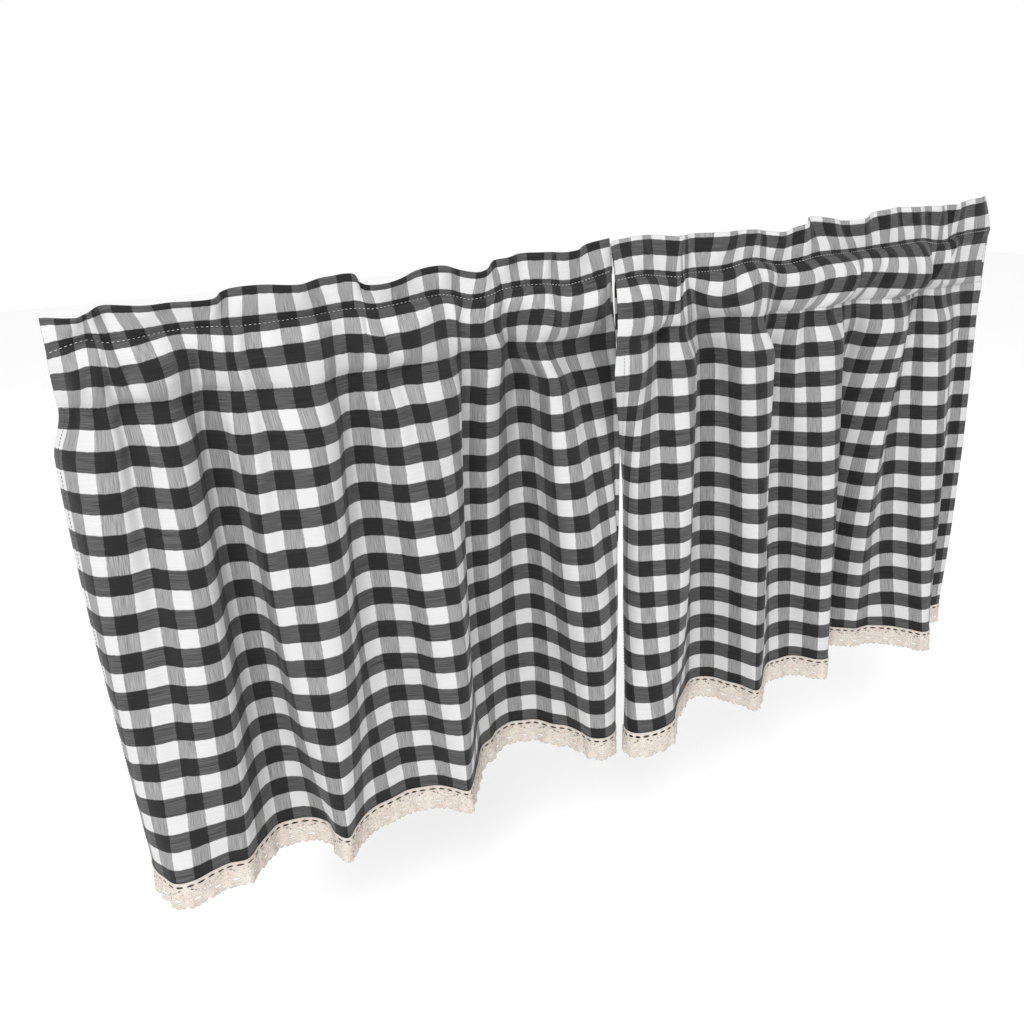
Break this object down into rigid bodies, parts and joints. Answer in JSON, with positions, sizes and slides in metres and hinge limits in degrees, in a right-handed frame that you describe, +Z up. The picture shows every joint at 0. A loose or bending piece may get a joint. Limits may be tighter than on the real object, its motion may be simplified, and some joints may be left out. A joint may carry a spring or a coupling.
{
  "type": "pair of checked cotton window valance panels",
  "caption": "Pair of short gathered gingham curtain panels with a ruffled rod-pocket heading and a crocheted lace edging along each hem.",
  "frame": {"origin": "on the rod's vertical plane at the top edge of the ruffled heading, in the middle where the two panels meet", "axes": "+X along the rod to the right as seen from the room, -Y towards the room, +Z up"},
  "size_m": [1.208, 0.1281, 0.6364],
  "materials": {
    "gingham_cotton": "plain-woven black and white check, matt, slubby",
    "crochet_lace": "cream crocheted cotton, matt"
  },
  "bodies": {
    "root": {"panel_left": "gingham_cotton", "panel_right": "gingham_cotton", "lace_left": "crochet_lace", "lace_right": "crochet_lace"}
  },
  "joints": []
}
